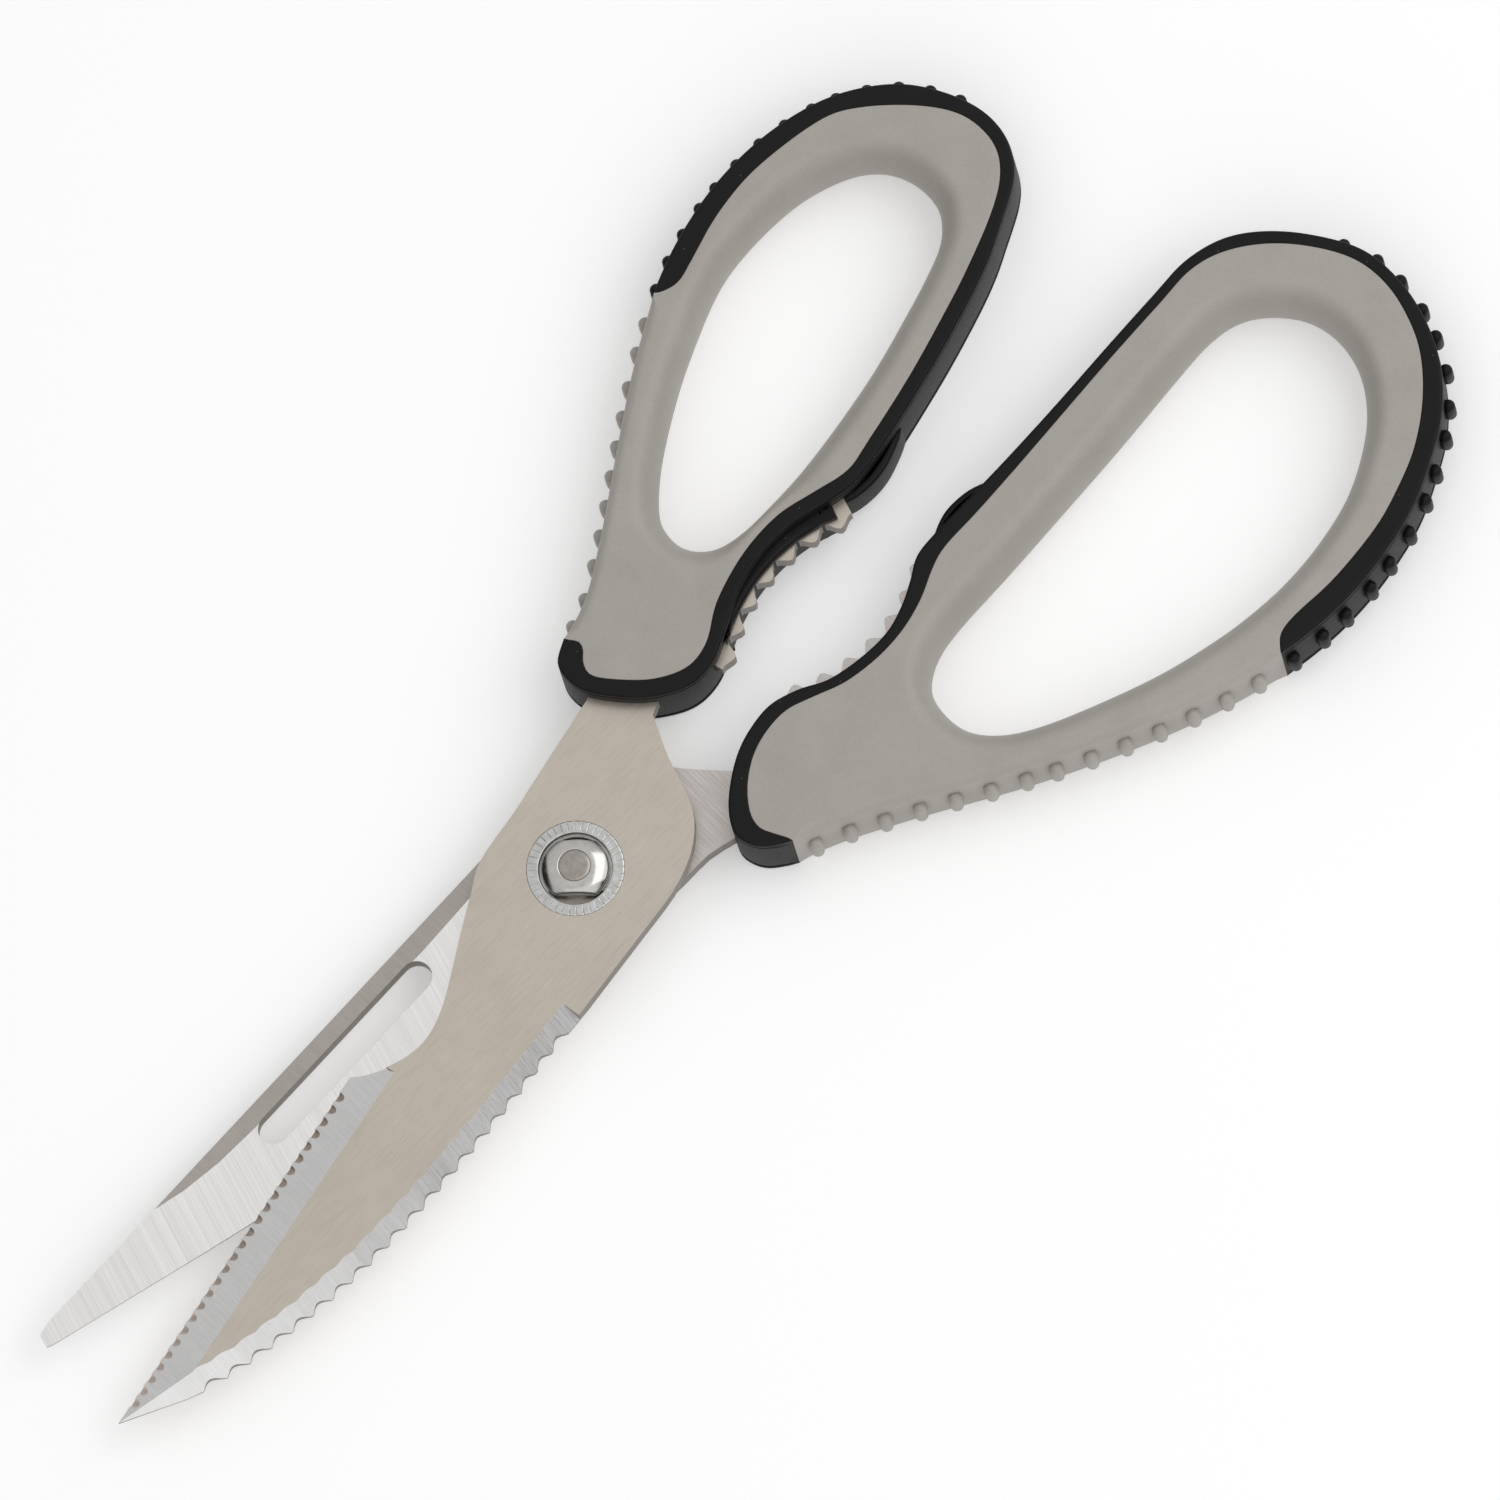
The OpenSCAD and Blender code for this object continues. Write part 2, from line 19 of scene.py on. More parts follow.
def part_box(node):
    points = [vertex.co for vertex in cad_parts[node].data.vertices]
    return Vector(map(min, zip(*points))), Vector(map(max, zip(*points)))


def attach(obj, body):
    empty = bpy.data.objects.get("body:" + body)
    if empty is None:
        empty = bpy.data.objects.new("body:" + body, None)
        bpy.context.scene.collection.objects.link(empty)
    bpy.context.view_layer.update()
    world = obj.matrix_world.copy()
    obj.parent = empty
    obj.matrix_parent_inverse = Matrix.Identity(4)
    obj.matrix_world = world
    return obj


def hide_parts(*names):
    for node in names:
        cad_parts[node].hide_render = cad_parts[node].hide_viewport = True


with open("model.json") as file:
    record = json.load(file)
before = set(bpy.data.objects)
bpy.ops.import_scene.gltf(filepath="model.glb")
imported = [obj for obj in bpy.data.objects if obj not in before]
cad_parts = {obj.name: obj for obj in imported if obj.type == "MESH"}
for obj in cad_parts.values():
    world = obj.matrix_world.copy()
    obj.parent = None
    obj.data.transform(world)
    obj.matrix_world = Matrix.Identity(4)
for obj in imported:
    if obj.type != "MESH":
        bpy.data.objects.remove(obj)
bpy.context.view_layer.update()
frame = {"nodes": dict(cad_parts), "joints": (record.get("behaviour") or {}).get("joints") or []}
MM = 0.001
PIVOT = Vector(frame["joints"][0]["pos_m"]).xy
LOG = logging.getLogger("shears")


class Body(Enum):
    """The two rigid halves of the shears."""

    FINGER = "finger_half"
    THUMB = "thumb_half"


# ---------------------------------------------------------------------------------------------- materials


def srgb(code: str) -> tuple[float, float, float, float]:
    """Turn an sRGB hex colour into linear RGBA.

    Args:
        code: six hex digits after a hash sign.

    Returns:
        Linear red, green, blue and an alpha of 1.
    """
    parts = [int(code[i : i + 2], 16) / 255 for i in (1, 3, 5)]
    line = [c / 12.92 if c <= 0.04045 else ((c + 0.055) / 1.055) ** 2.4 for c in parts]
    return (line[0], line[1], line[2], 1.0)


def add_node(tree: bpy.types.NodeTree, kind: str, settings: dict, links: dict) -> bpy.types.Node:
    """Add one node with its settings and its incoming links.

    Args:
        tree: the node tree to add to.
        kind: the node's type, without its ShaderNode prefix.
        settings: attribute names, or input names and indices, with their values.
        links: input names or indices, each with the output socket that feeds it.

    Returns:
        The new node.
    """
    made = tree.nodes.new("ShaderNode" + kind)
    for key, value in settings.items():
        if isinstance(key, str) and hasattr(made, key):
            setattr(made, key, value)
        else:
            made.inputs[key].default_value = value
    for key, source in links.items():
        tree.links.new(source, made.inputs[key])
    return made


def add_ramp(tree: bpy.types.NodeTree, source: bpy.types.NodeSocket, stops: Sequence[tuple[float, str]]) -> bpy.types.Node:
    """Add a colour ramp with the given stops.

    Args:
        tree: the node tree to add to.
        source: the factor.
        stops: pairs of position and sRGB hex colour.

    Returns:
        The ramp node.
    """
    ramp = add_node(tree, "ValToRGB", {}, {0: source})
    bars = ramp.color_ramp.elements
    while len(bars) < len(stops):
        bars.new(0.5)
    for bar, (place, code) in zip(bars, stops):
        bar.position = place
        bar.color = srgb(code)
    return ramp


@dataclass(frozen=True)
class Finish:
    """A surface finish, built once as a procedural material."""

    name: str

    def start(self) -> tuple[bpy.types.Material, bpy.types.NodeTree, bpy.types.Node, bpy.types.NodeSocket]:
        """Make an empty material.

        Returns:
            The material, its tree, its shader and the Object coordinates.
        """
        made = bpy.data.materials.new(self.name)
        made.use_nodes = True
        tree = made.node_tree
        shader = tree.nodes["Principled BSDF"] if "Principled BSDF" in tree.nodes else None
        if shader is None:
            shader = add_node(tree, "BsdfPrincipled", {}, {})
            add_node(tree, "OutputMaterial", {}, {"Surface": shader.outputs[0]})
        place = add_node(tree, "TexCoord", {}, {}).outputs["Object"]
        return made, tree, shader, place


@dataclass(frozen=True)
class GrainedSteel(Finish):
    """Stainless steel ground along one direction: fine parallel lines of light and roughness."""

    light: str = "#bdb5ab"
    dark: str = "#aaa298"
    turn: float = 0.0
    line_mm: float = 0.25
    run_mm: float = 14.0
    roughness: float = 0.36
    depth_mm: float = 0.012
    cloud: float = 0.3

    def build(self) -> bpy.types.Material:
        """Build the material."""
        made, tree, shader, place = self.start()
        turned = add_node(tree, "Mapping", {"vector_type": "POINT"}, {"Vector": place})
        turned.inputs["Rotation"].default_value = (0, 0, self.turn)
        long_way = add_node(tree, "Mapping", {"vector_type": "POINT"}, {"Vector": turned.outputs[0]})
        long_way.inputs["Scale"].default_value = (
            1 / (self.line_mm * MM), 1 / (self.run_mm * MM), 1 / (self.run_mm * MM))
        lines = add_node(tree, "TexNoise", {"Scale": 1.0, "Detail": 3.0, "Roughness": 0.6}, {"Vector": long_way.outputs[0]})
        clouds = add_node(tree, "TexNoise", {"Scale": 1 / (9 * MM), "Detail": 2.0}, {"Vector": place})
        mixed = add_node(tree, "Mix", {"data_type": "FLOAT", "Factor": self.cloud},
                         {2: lines.outputs["Fac"], 3: clouds.outputs["Fac"]})
        tone = add_ramp(tree, mixed.outputs[0], [(0.32, self.dark), (0.68, self.light)])
        tree.links.new(tone.outputs[0], shader.inputs["Base Color"])
        rough = add_node(tree, "MapRange", {"From Min": 0.3, "From Max": 0.7, "To Min": self.roughness - 0.05,
                                            "To Max": self.roughness + 0.06}, {"Value": lines.outputs["Fac"]})
        tree.links.new(rough.outputs[0], shader.inputs["Roughness"])
        bump = add_node(tree, "Bump", {"Strength": 1.0, "Distance": self.depth_mm * MM}, {"Height": lines.outputs["Fac"]})
        tree.links.new(bump.outputs[0], shader.inputs["Normal"])
        shader.inputs["Metallic"].default_value = 1.0
        return made


@dataclass(frozen=True)
class PolishedSteel(Finish):
    """Turned and polished stainless steel, with faint wear in its roughness."""

    colour: str = "#cfcdc9"
    worn: str = "#c2c0bb"
    roughness: float = 0.12

    def build(self) -> bpy.types.Material:
        """Build the material."""
        made, tree, shader, place = self.start()
        wear = add_node(tree, "TexNoise", {"Scale": 1 / (0.9 * MM), "Detail": 4.0}, {"Vector": place})
        tone = add_ramp(tree, wear.outputs["Fac"], [(0.3, self.worn), (0.7, self.colour)])
        tree.links.new(tone.outputs[0], shader.inputs["Base Color"])
        rough = add_node(tree, "MapRange", {"From Min": 0.3, "From Max": 0.75, "To Min": self.roughness,
                                            "To Max": self.roughness + 0.12}, {"Value": wear.outputs["Fac"]})
        tree.links.new(rough.outputs[0], shader.inputs["Roughness"])
        shader.inputs["Metallic"].default_value = 1.0
        return made


@dataclass(frozen=True)
class MouldedPlastic(Finish):
    """Injection-moulded plastic from a spark-eroded mould: a fine even grain that softens the gloss."""

    light: str = "#ada8a2"
    dark: str = "#a5a099"
    grain_mm: float = 0.35
    depth_mm: float = 0.02
    roughness: float = 0.5
    specks: str = ""
    specular: float = 0.4

    def build(self) -> bpy.types.Material:
        """Build the material."""
        made, tree, shader, place = self.start()
        grain = add_node(tree, "TexNoise", {"Scale": 1 / (self.grain_mm * MM), "Detail": 2.0, "Roughness": 0.7},
                         {"Vector": place})
        clouds = add_node(tree, "TexNoise", {"Scale": 1 / (6 * MM), "Detail": 3.0}, {"Vector": place})
        mixed = add_node(tree, "Mix", {"data_type": "FLOAT", "Factor": 0.45},
                         {2: grain.outputs["Fac"], 3: clouds.outputs["Fac"]})
        tone = add_ramp(tree, mixed.outputs[0], [(0.35, self.dark), (0.65, self.light)])
        colour = tone.outputs[0]
        shader.inputs["Specular IOR Level"].default_value = self.specular
        if self.specks:
            dots = add_node(tree, "TexVoronoi", {"Scale": 1 / (2.2 * MM)}, {"Vector": place})
            spot = add_node(tree, "Math", {"operation": "LESS_THAN", 1: 0.045}, {0: dots.outputs["Distance"]})
            dust = add_node(tree, "Mix", {"data_type": "RGBA"}, {0: spot.outputs[0], 6: colour})
            dust.inputs[7].default_value = srgb(self.specks)
            colour = dust.outputs[2]
        tree.links.new(colour, shader.inputs["Base Color"])
        rough = add_node(tree, "MapRange", {"From Min": 0.3, "From Max": 0.7, "To Min": self.roughness - 0.06,
                                            "To Max": self.roughness + 0.06}, {"Value": grain.outputs["Fac"]})
        tree.links.new(rough.outputs[0], shader.inputs["Roughness"])
        bump = add_node(tree, "Bump", {"Strength": 1.0, "Distance": self.depth_mm * MM}, {"Height": grain.outputs["Fac"]})
        tree.links.new(bump.outputs[0], shader.inputs["Normal"])
        return made


# ---------------------------------------------------------------------------------------------- outlines


@dataclass
class Outline:
    """A closed run of points in the XY plane, counter-clockwise, in metres."""

    points: list[Vector]

    def __post_init__(self) -> None:
        """Turn the run counter-clockwise."""
        if self.area() < 0:
            self.points.reverse()

    def area(self) -> float:
        """Signed area."""
        pairs = zip(self.points, self.points[1:] + self.points[:1])
        return 0.5 * sum(a.x * b.y - b.x * a.y for a, b in pairs)

    def simplified(self, slack: float) -> "Outline":
        """Drop points that lie within slack of the line between their neighbours."""
        kept = list(self.points)
        changed = True
        while changed:
            changed = False
            out = []
            for i, p in enumerate(kept):
                a = out[-1] if out else kept[-1]
                b = kept[(i + 1) % len(kept)]
                way = b - a
                off = abs(way.x * (p.y - a.y) - way.y * (p.x - a.x)) / max(way.length, 1e-12)
                if off < slack and (p - a).dot(b - p) > 0:
                    changed = True
                    continue
                out.append(p)
            kept = out
        return Outline(kept)

    def corners(self, turn: float) -> list[int]:
        """Indices of the points where the run turns by more than an angle."""
        n = len(self.points)
        found = []
        for i, p in enumerate(self.points):
            before = p - self.points[i - 1]
            after = self.points[(i + 1) % n] - p
            if before.length > 1e-9 and after.length > 1e-9 and abs(before.angle_signed(after)) > turn:
                found.append(i)
        return found

    def resampled(self, step: float, turn: float) -> "Outline":
        """Round the facets off with a spline and space the points evenly.

        Args:
            step: distance between the new points.
            turn: angle above which a point stays a corner.

        Returns:
            The new outline.
        """
        n = len(self.points)
        marks = self.corners(turn) or [0]
        closed = marks == [0] and not self.corners(turn)
        fine: list[Vector] = []
        for k, first in enumerate(marks):
            last = marks[(k + 1) % len(marks)]
            count = (last - first) % n or n
            run = [self.points[(first + i) % n] for i in range(count + 1)]
            before = self.points[first - 1] if closed else run[0]
            after = self.points[(first + count + 1) % n] if closed else run[-1]
            fine += spline(run, before, after, step)
        return Outline(fine)

    def insides(self) -> list[Vector]:
        """Unit directions into the outline at its points."""
        n = len(self.points)
        ways = [self.points[(i + 1) % n] - self.points[i - 1] for i in range(n)]
        return [Vector((-w.y, w.x)).normalized() for w in ways]

    def ease(self, turn: float = math.radians(38), reach: float = 2.2 * MM) -> list[float]:
        """Share of an inset that each point can take: little at a sharp corner, all of it away from one."""
        sharp = [self.points[i] for i in self.corners(turn)]
        return [min([1.0, *(max(0.06, (p - c).length / reach) for c in sharp)]) for p in self.points]

    def tree(self) -> kdtree.KDTree:
        """A search tree over the points."""
        made = kdtree.KDTree(len(self.points))
        for i, p in enumerate(self.points):
            made.insert((p.x, p.y, 0), i)
        made.balance()
        return made


def blurred(values: Sequence[float], times: int) -> list[float]:
    """Values round a loop, averaged with their neighbours a number of times."""
    n = len(values)
    for _ in range(times):
        values = [(values[i - 1] + values[i] + values[(i + 1) % n]) / 3 for i in range(n)]
    return list(values)


def spline(run: Sequence[Vector], before: Vector, after: Vector, step: float) -> list[Vector]:
    """Points along a smooth curve through a run, evenly spaced, without the run's last point.

    Args:
        run: the points to pass through.
        before: the neighbour of the first point.
        after: the neighbour of the last point.
        step: distance between the new points.

    Returns:
        The new points.
    """
    ends = [before, *run, after]
    dense: list[Vector] = []
    for i in range(1, len(ends) - 2):
        a, b, c, d = ends[i - 1 : i + 3]
        for k in range(8):
            t = k / 8
            dense.append(0.5 * (2 * b + (c - a) * t + (2 * a - 5 * b + 4 * c - d) * t * t
                                + (3 * b - a - 3 * c + d) * t ** 3))
    dense.append(run[-1])
    lengths = [0.0]
    for p, q in zip(dense, dense[1:]):
        lengths.append(lengths[-1] + (q - p).length)
    count = max(2, round(lengths[-1] / step))
    out, j = [], 0
    for i in range(count):
        want = lengths[-1] * i / count
        while lengths[j + 1] < want:
            j += 1
        share = (want - lengths[j]) / max(lengths[j + 1] - lengths[j], 1e-12)
        out.append(dense[j].lerp(dense[j + 1], share))
    return out


def clean_copy(node: str) -> bmesh.types.BMesh:
    """A merged copy of a CAD node's mesh."""
    bm = bmesh.new()
    bm.from_mesh(frame["nodes"][node].data)
    bmesh.ops.remove_doubles(bm, verts=bm.verts, dist=0.0008 * MM)
    return bm


def sections(node: str, height: float) -> list[Outline]:
    """The outlines of a CAD node at a height, largest first."""
    bm = clean_copy(node)
    bmesh.ops.bisect_plane(bm, geom=[*bm.verts, *bm.edges, *bm.faces], dist=1e-9, plane_co=(0, 0, height),
                           plane_no=(0, 0, 1), clear_inner=True, clear_outer=True)
    bmesh.ops.remove_doubles(bm, verts=bm.verts, dist=0.0008 * MM)
    left = {e for e in bm.edges if e.calc_length() > 0}
    loops = []
    while left:
        edge = left.pop()
        first, here = edge.verts
        run = [first.co.xy.copy(), here.co.xy.copy()]
        while here is not first:
            step = next((e for e in here.link_edges if e in left), None)
            if step is None:
                break
            left.discard(step)
            here = step.other_vert(here)
            run.append(here.co.xy.copy())
        if here is first and len(run) > 3:
            loops.append(Outline(run[:-1]).simplified(0.002 * MM))
    bm.free()
    return sorted(loops, key=lambda loop: -abs(loop.area()))


# ---------------------------------------------------------------------------------------------- mesh work


@dataclass(frozen=True)
class Station:
    """One ring of a swept wall: inset and height where the wall is joined, and where it is free."""

    joined_inset: float
    joined_z: float
    free_inset: float
    free_z: float


def arc_stations(joined_r: float, free_r: float, base_z: float, face_z: float, steps: int = 6) -> list[Station]:
    """Stations of a rounded edge between a wall and a face, with a support ring on the face.

    Args:
        joined_r: edge radius where the wall is joined to its neighbour.
        free_r: edge radius where the wall is free.
        base_z: a height on the wall that tells which way the face lies.
        face_z: the height of the face.
        steps: rings in the rounding.

    Returns:
        The stations from the wall to the face.
    """
    way = 1 if face_z > base_z else -1
    made = []
    for k in range(steps + 1):
        turn = math.pi / 2 * k / steps
        inset, drop = 1 - math.cos(turn), 1 - math.sin(turn)
        made.append(Station(joined_r * inset, face_z - way * joined_r * drop,
                            free_r * inset, face_z - way * free_r * drop))
    more = 0.3 * MM
    made.append(Station(joined_r + more, face_z, free_r + more, face_z))
    return made


def lay_ring(bm: bmesh.types.BMesh, outline: Outline, height: float) -> list[bmesh.types.BMEdge]:
    """Lay an outline into a mesh as a closed ring of edges that know their place in it."""
    mark = bm.verts.layers.int.get("place") or bm.verts.layers.int.new("place")
    ring = bmesh.ops.create_circle(bm, segments=len(outline.points), radius=1)["verts"]
    for i, (v, p) in enumerate(zip(ring, outline.points)):
        v.co = (p.x, p.y, height)
        v[mark] = i
    return [e for e in bm.edges if e.verts[0] in set(ring) and e.verts[1] in set(ring)]


def sweep(bm: bmesh.types.BMesh, ring: list[bmesh.types.BMEdge], outline: Outline, free: Sequence[float],
          stations: Iterable[Station], side: int = 1) -> list[bmesh.types.BMEdge]:
    """Extrude a ring of edges through stations.

    Args:
        bm: the mesh.
        ring: the ring's edges, from lay_ring.
        outline: the outline that the ring came from.
        free: for each point, 0 where the wall is joined and 1 where it is free.
        stations: the rings to make.
        side: 1 to move insets into the outline, -1 to move them out of it.

    Returns:
        The last ring's edges.
    """
    mark = bm.verts.layers.int["place"]
    inside, ease = outline.insides(), outline.ease()
    for s in stations:
        grown = bmesh.ops.extrude_edge_only(bm, edges=ring)["geom"]
        ring = [g for g in grown if isinstance(g, bmesh.types.BMEdge)]
        for v in (g for g in grown if isinstance(g, bmesh.types.BMVert)):
            i = v[mark]
            inset = (s.joined_inset + (s.free_inset - s.joined_inset) * free[i]) * ease[i]
            height = s.joined_z + (s.free_z - s.joined_z) * free[i]
            spot = outline.points[i] + inside[i] * inset * side
            v.co = (spot.x, spot.y, height)
    return ring


def fill(bm: bmesh.types.BMesh, *rings: list[bmesh.types.BMEdge]) -> None:
    """Close the space between rings that lie in one plane."""
    bmesh.ops.triangle_fill(bm, use_beauty=True, use_dissolve=False, edges=[e for r in rings for e in r])


def shade(bm: bmesh.types.BMesh, turn: float) -> None:
    """Shade smooth, with sharp edges above an angle and between materials."""
    for f in bm.faces:
        f.smooth = True
    for e in bm.edges:
        faces = e.link_faces
        if len(faces) == 2:
            split = faces[0].material_index != faces[1].material_index
            e.smooth = not (split or e.calc_face_angle(0) > turn)


def publish(bm: bmesh.types.BMesh, name: str, body: Body, finishes: Sequence[bpy.types.Material],
            turn: float = math.radians(35), recalculate: bool = True) -> bpy.types.Object:
    """Turn a finished mesh into a piece that rides on its body and stands for its CAD node.

    Args:
        bm: the mesh, in the frame's place; it is freed.
        name: the CAD node's name, which the piece takes with a suffix.
        body: the body that it rides on.
        finishes: its materials, in the order of the faces' material indices.
        turn: angle above which an edge is shaded sharp.
        recalculate: whether the normals are made to point outwards.

    Returns:
        The piece.
    """
    if recalculate:
        bmesh.ops.recalc_face_normals(bm, faces=bm.faces)
    shade(bm, turn)
    for layer in list(bm.verts.layers.int):
        bm.verts.layers.int.remove(layer)
    mesh = bpy.data.meshes.new(name + "_fine")
    bm.to_mesh(mesh)
    bm.free()
    for finish in finishes:
        mesh.materials.append(finish)
    piece = bpy.data.objects.new(name + "_fine", mesh)
    bpy.context.scene.collection.objects.link(piece)
    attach(piece, body.value)
    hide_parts(name)
    LOG.info("%s: %d faces", piece.name, len(mesh.polygons))
    return piece


# ---------------------------------------------------------------------------------------------- handles


@dataclass
class Handle:
    """One moulded handle: a hard core with a rolled opening, and a soft rim with its nubs and lug."""

    core_node: str
    grip_node: str
    body: Body
    core_finish: bpy.types.Material
    grip_finish: bpy.types.Material
    pocket_at: float
    step: float = 0.7 * MM
    corner: float = math.radians(28)
    core_edge: float = 1.5 * MM
    rim_edge: float = 0.4 * MM
    seam_edge: float = 0.13 * MM
    lip: float = 0.85 * MM
    lip_in: float = 0.0
    groove: float = 0.3 * MM
    roll: float = 3.6 * MM
    land: float = 0.8 * MM
    nub_r: float = 0.95 * MM
    nub_out: float = 1.4 * MM
    nub_l: float = 5.0 * MM
    nub_top: float = 8.3 * MM
    lug_low: float = 1.5 * MM
    lug_high: float = 8.0 * MM
    lug_edge: float = 0.6 * MM
    lip_low: float = 2.0 * MM
    lip_high: float = 9.3 * MM
    root: float = 2.1 * MM
    pocket_floor: float = 3.0 * MM
    thickness: float = field(init=False)

    def __post_init__(self) -> None:
        """Read the handle's thickness and outlines from the frame."""
        self.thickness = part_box(self.core_node)[1].z
        core, hole = sections(self.core_node, 0.3 * MM)[:2]
        self.core = core.resampled(self.step, self.corner)
        self.grip = sections(self.grip_node, 0.3 * MM)[0].resampled(self.step, self.corner)
        middle = sections(self.core_node, self.thickness / 2 + 0.01 * MM)
        self.hole = min(middle, key=lambda loop: abs(abs(loop.area()) - abs(hole.area())))
        self.hole = self.hole.resampled(self.step, math.radians(80))

    def free_share(self, own: Outline, other: Outline) -> list[float]:
        """How free each point of an outline is: 0 on the seam with the other outline, 1 elsewhere."""
        tree = other.tree()
        return blurred([float(tree.find((p.x, p.y, 0))[2] > 0.5 * self.step + 0.12 * MM) for p in own.points], 3)

    def wall(self, bm: bmesh.types.BMesh, outline: Outline, free: Sequence[float],
             upper: Callable[[float], list[Station]]) -> list[list[bmesh.types.BMEdge]]:
        """Sweep a wall from mid height to both faces.

        Returns:
            The rings on the upper and the lower face.
        """
        middle = lay_ring(bm, outline, self.thickness / 2)
        return [sweep(bm, middle, outline, free, upper(z)) for z in (self.thickness, 0.0)]

    def opening(self, bm: bmesh.types.BMesh) -> list[list[bmesh.types.BMEdge]]:
        """Sweep the rolled opening, narrowest at mid height.

        Returns:
            The rings on the upper and the lower face.
        """
        edge = self.core.tree()
        room = [min(1.0, (edge.find((p.x, p.y, 0))[2] - self.land) / self.roll) for p in self.hole.points]
        share = blurred(room, 4)
        middle = lay_ring(bm, self.hole, self.thickness / 2)
        half = self.thickness / 2
        rings = []
        for way in (1, -1):
            stations = []
            for k in range(1, 15):
                turn = math.pi / 2 * k / 14
                height = half + way * half * math.sin(turn)
                stations.append(Station(0, height, self.roll * (1 - math.cos(turn)), height))
            stations.append(Station(0.25 * MM, height, self.roll + 0.25 * MM, height))
            rings.append(sweep(bm, middle, self.hole, share, stations, -1))
        return rings

    def nub_places(self, node: str) -> list[Vector]:
        """Centres of the nubs on a CAD node, found from the vertices of their upper ends."""
        spots = [v.co.xy for v in frame["nodes"][node].data.vertices if abs(v.co.z - self.nub_top) < 0.004 * MM]
        groups: list[list[Vector]] = []
        for p in spots:
            near = next((g for g in groups if (g[0] - p).length < 2.1 * MM), None)
            if near is None:
                groups.append([p.copy()])
            else:
                near.append(p.copy())
        return [sum(g, Vector((0, 0))) / len(g) for g in groups if len(g) > 4]

    def add_nubs(self, bm: bmesh.types.BMesh, node: str, wall: Outline) -> None:
        """Add a pill-shaped nub at each of the node's places, half sunk into the wall."""
        tree, inside = wall.tree(), wall.insides()
        for place in self.nub_places(node):
            _, i, _ = tree.find((place.x, place.y, 0))
            centre = wall.points[i] - inside[i] * (self.nub_out - self.nub_r)
            ball = bmesh.ops.create_uvsphere(bm, u_segments=16, v_segments=12, radius=self.nub_r)["verts"]
            half = self.nub_l / 2 - self.nub_r
            for v in ball:
                v.co.z += half if v.co.z > 0 else -half if v.co.z < -1e-7 else 0
            bmesh.ops.translate(bm, verts=ball, vec=(centre.x, centre.y, self.thickness / 2))

    def core_stations(self, face: float) -> list[Station]:
        """Rings of the hard core's wall."""
        return arc_stations(self.seam_edge, self.core_edge, self.thickness / 2, face)

    def grip_stations(self, face: float) -> list[Station]:
        """Rings of the soft rim's wall: a groove under a set-back lip on the free side."""
        way = 1 if face > self.thickness / 2 else -1
        under = [(0.0, self.lip + 0.9 * MM), (0.05 * MM, self.lip + 0.5 * MM), (self.groove, self.lip + 0.25 * MM),
                 (self.groove, self.lip + 0.1 * MM), (self.lip_in, self.lip - 0.1 * MM)]
        made = [Station(0.0, face - way * depth, inset, face - way * depth) for inset, depth in under]
        for s in arc_stations(self.seam_edge, self.rim_edge, self.thickness / 2, face):
            made.append(Station(s.joined_inset, s.joined_z, s.free_inset + self.lip_in, s.free_z))
        return made

    def build_core(self) -> bpy.types.Object:
        """Build the hard core."""
        bm = bmesh.new()
        free = self.free_share(self.core, self.grip)
        outer = self.wall(bm, self.core, free, self.core_stations)
        inner = self.opening(bm)
        for a, b in zip(outer, inner):
            fill(bm, a, b)
        bmesh.ops.recalc_face_normals(bm, faces=bm.faces)
        self.add_nubs(bm, self.core_node, self.core)
        return publish(bm, self.core_node, self.body, [self.core_finish], recalculate=False)

    def outrun(self, height: float) -> list[Outline]:
        """Closed outlines of what stands out of the rim's wall at a height, each rooted inside the wall."""
        low = sections(self.grip_node, height)[0].resampled(self.step / 2, self.corner)
        inside = low.insides()
        wall = self.grip.resampled(0.15 * MM, self.corner).tree()
        out = [wall.find((p.x, p.y, 0))[2] > 0.12 * MM for p in low.points]
        n = len(out)
        shapes = []
        for first in (i for i in range(n) if out[i] and not out[i - 1]):
            run = []
            while out[(first + len(run)) % n]:
                run.append((first + len(run)) % n)
            if len(run) > 12:
                root = [low.points[i] + inside[i] * self.root for i in reversed(run)]
                shapes.append(Outline([*(low.points[i] for i in run), *root]).resampled(self.step / 2, math.radians(50)))
        return shapes

    def build_bumper(self, bm: bmesh.types.BMesh, shape: Outline, low: float, high: float,
                     pocket: Outline | None = None) -> None:
        """Add one raised block of the rim, with its pocket if it has one.

        Args:
            bm: the rim's mesh.
            shape: the block's outline.
            low: height of its lower face.
            high: height of its upper face.
            pocket: outline of a recess in its upper face.
        """
        middle = lay_ring(bm, shape, (low + high) / 2)
        free = [1.0] * len(shape.points)
        upper = sweep(bm, middle, shape, free, arc_stations(0, self.lug_edge, low, high))
        fill(bm, sweep(bm, middle, shape, free, arc_stations(0, self.lug_edge, high, low)))
        if pocket is None:
            fill(bm, upper)
            return
        rim = lay_ring(bm, pocket, high)
        fill(bm, upper, rim)
        floor = [Station(0, z, 0, z) for z in (high - 0.3 * MM, self.pocket_floor)]
        fill(bm, sweep(bm, rim, pocket, [1.0] * len(pocket.points), floor))

    def build_bumpers(self, bm: bmesh.types.BMesh) -> None:
        """Add the closing lug, a hollow bumper, and the lip over the roots of the jaw's teeth where there is one."""
        pocket = sections(self.grip_node, self.pocket_at)[-1].resampled(self.step / 2, math.radians(100))
        for shape in self.outrun(2.4 * MM):
            has_pocket = min((p - pocket.points[0]).length for p in shape.points) < 3 * MM
            if has_pocket:
                self.build_bumper(bm, shape, self.lug_low, self.lug_high, pocket)
            else:
                self.build_bumper(bm, shape, self.lip_low, self.lip_high)

